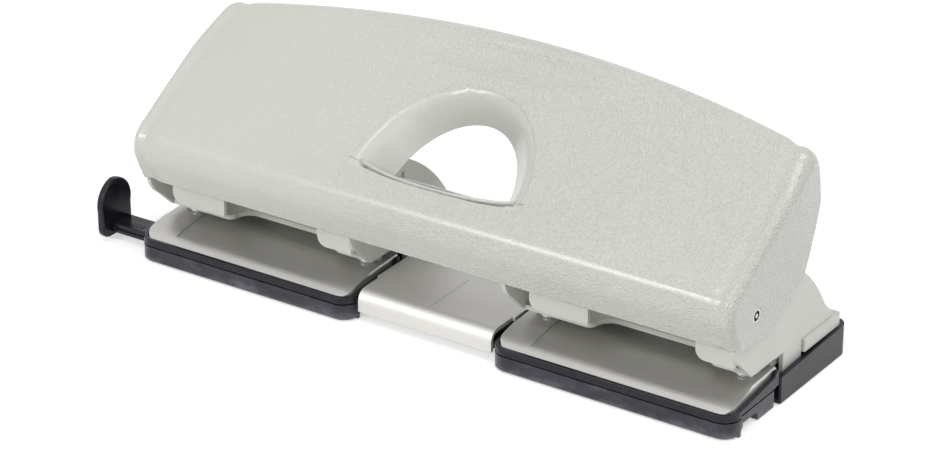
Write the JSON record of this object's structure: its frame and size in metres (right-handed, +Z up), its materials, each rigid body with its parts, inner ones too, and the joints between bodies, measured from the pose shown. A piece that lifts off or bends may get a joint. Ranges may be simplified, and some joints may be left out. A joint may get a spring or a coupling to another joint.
{
  "type": "hole punch",
  "caption": "Manual multi-hole desk punch: long pressed lever with a hand opening over paired punch units, swing-down chip trays and a sliding paper side guide.",
  "frame": {"origin": "on the table under the middle of the object: midway along the lever and midway through the depth of the base, on the underside of the middle rubber pad", "axes": "+X along the lever, to the user's right; +Y from the user towards the back; +Z up"},
  "size_m": [0.281, 0.0857, 0.0962],
  "materials": {
    "lever_paint": "grained semi-gloss powder coat, light warm grey",
    "frame_paint": "smooth semi-gloss paint, light grey",
    "plate_paint": "satin silver-grey paint",
    "steel": "plain bright steel",
    "black_plastic": "glossy moulded black",
    "smoked_plastic": "smoked translucent plastic",
    "rubber": "matt"
  },
  "bodies": {
    "base": {"axle": "steel", "axle_spacer": "steel", "foot": "black_plastic", "rubber_pads": "rubber", "tie_strip": "steel", "tie_screws": "steel", "rear_rail": "frame_paint", "middle_plate": "plate_paint", "guide_channel": "black_plastic", "frame_left": "frame_paint", "guide_web_left": "frame_paint", "base_plate_left": "plate_paint", "trim_left": "black_plastic", "frame_right": "frame_paint", "guide_web_right": "frame_paint", "base_plate_right": "plate_paint", "trim_right": "black_plastic", "spring_1": "steel", "die_1": "steel", "spring_2": "steel", "die_2": "steel", "spring_3": "steel", "die_3": "steel", "spring_4": "steel", "die_4": "steel"},
    "lever": {"lever": "lever_paint", "presser_bar": "steel", "bar_hangers": "steel"},
    "tray_left": {"tray_left": "smoked_plastic", "tray_pins_left": "steel"},
    "tray_right": {"tray_right": "smoked_plastic", "tray_pins_right": "steel"},
    "side_guide": {"guide_bar": "black_plastic", "stop_plate": "black_plastic"},
    "punch_1": {"punch_1": "steel", "collar_1": "steel"},
    "punch_2": {"punch_2": "steel", "collar_2": "steel"},
    "punch_3": {"punch_3": "steel", "collar_3": "steel"},
    "punch_4": {"punch_4": "steel", "collar_4": "steel"}
  },
  "joints": [
    {"name": "lever_hinge", "type": "hinge", "parent": "base", "child": "lever", "pos_m": [0, -0.0259, 0.0422], "axis": [-1, 0, 0], "range_deg": [0, 25], "stiffness_Nm_per_rad": 0.37, "springref_deg": -38.39},
    {"name": "punch_1_slide", "type": "slide", "parent": "base", "child": "punch_1", "axis": [0, 0, -1], "range_m": [0, 0.0048], "deforming": ["spring_1"]},
    {"name": "punch_2_slide", "type": "slide", "parent": "base", "child": "punch_2", "axis": [0, 0, -1], "range_m": [0, 0.0048], "deforming": ["spring_2"]},
    {"name": "punch_3_slide", "type": "slide", "parent": "base", "child": "punch_3", "axis": [0, 0, -1], "range_m": [0, 0.0048], "deforming": ["spring_3"]},
    {"name": "punch_4_slide", "type": "slide", "parent": "base", "child": "punch_4", "axis": [0, 0, -1], "range_m": [0, 0.0048], "deforming": ["spring_4"]},
    {"name": "tray_left_hinge", "type": "hinge", "parent": "base", "child": "tray_left", "pos_m": [0, -0.0114, 0.0034], "axis": [1, 0, 0], "range_deg": [0, 55]},
    {"name": "tray_right_hinge", "type": "hinge", "parent": "base", "child": "tray_right", "pos_m": [0, -0.0114, 0.0034], "axis": [1, 0, 0], "range_deg": [0, 55]},
    {"name": "side_guide_slide", "type": "slide", "parent": "base", "child": "side_guide", "axis": [1, 0, 0], "range_m": [-0.0165, 0.0185]}
  ],
  "couplings": [
    {"joint": "punch_1_slide", "follows": "lever_hinge", "m_per_rad": 0.01086},
    {"joint": "punch_2_slide", "follows": "lever_hinge", "m_per_rad": 0.01086},
    {"joint": "punch_3_slide", "follows": "lever_hinge", "m_per_rad": 0.01086},
    {"joint": "punch_4_slide", "follows": "lever_hinge", "m_per_rad": 0.01086}
  ]
}
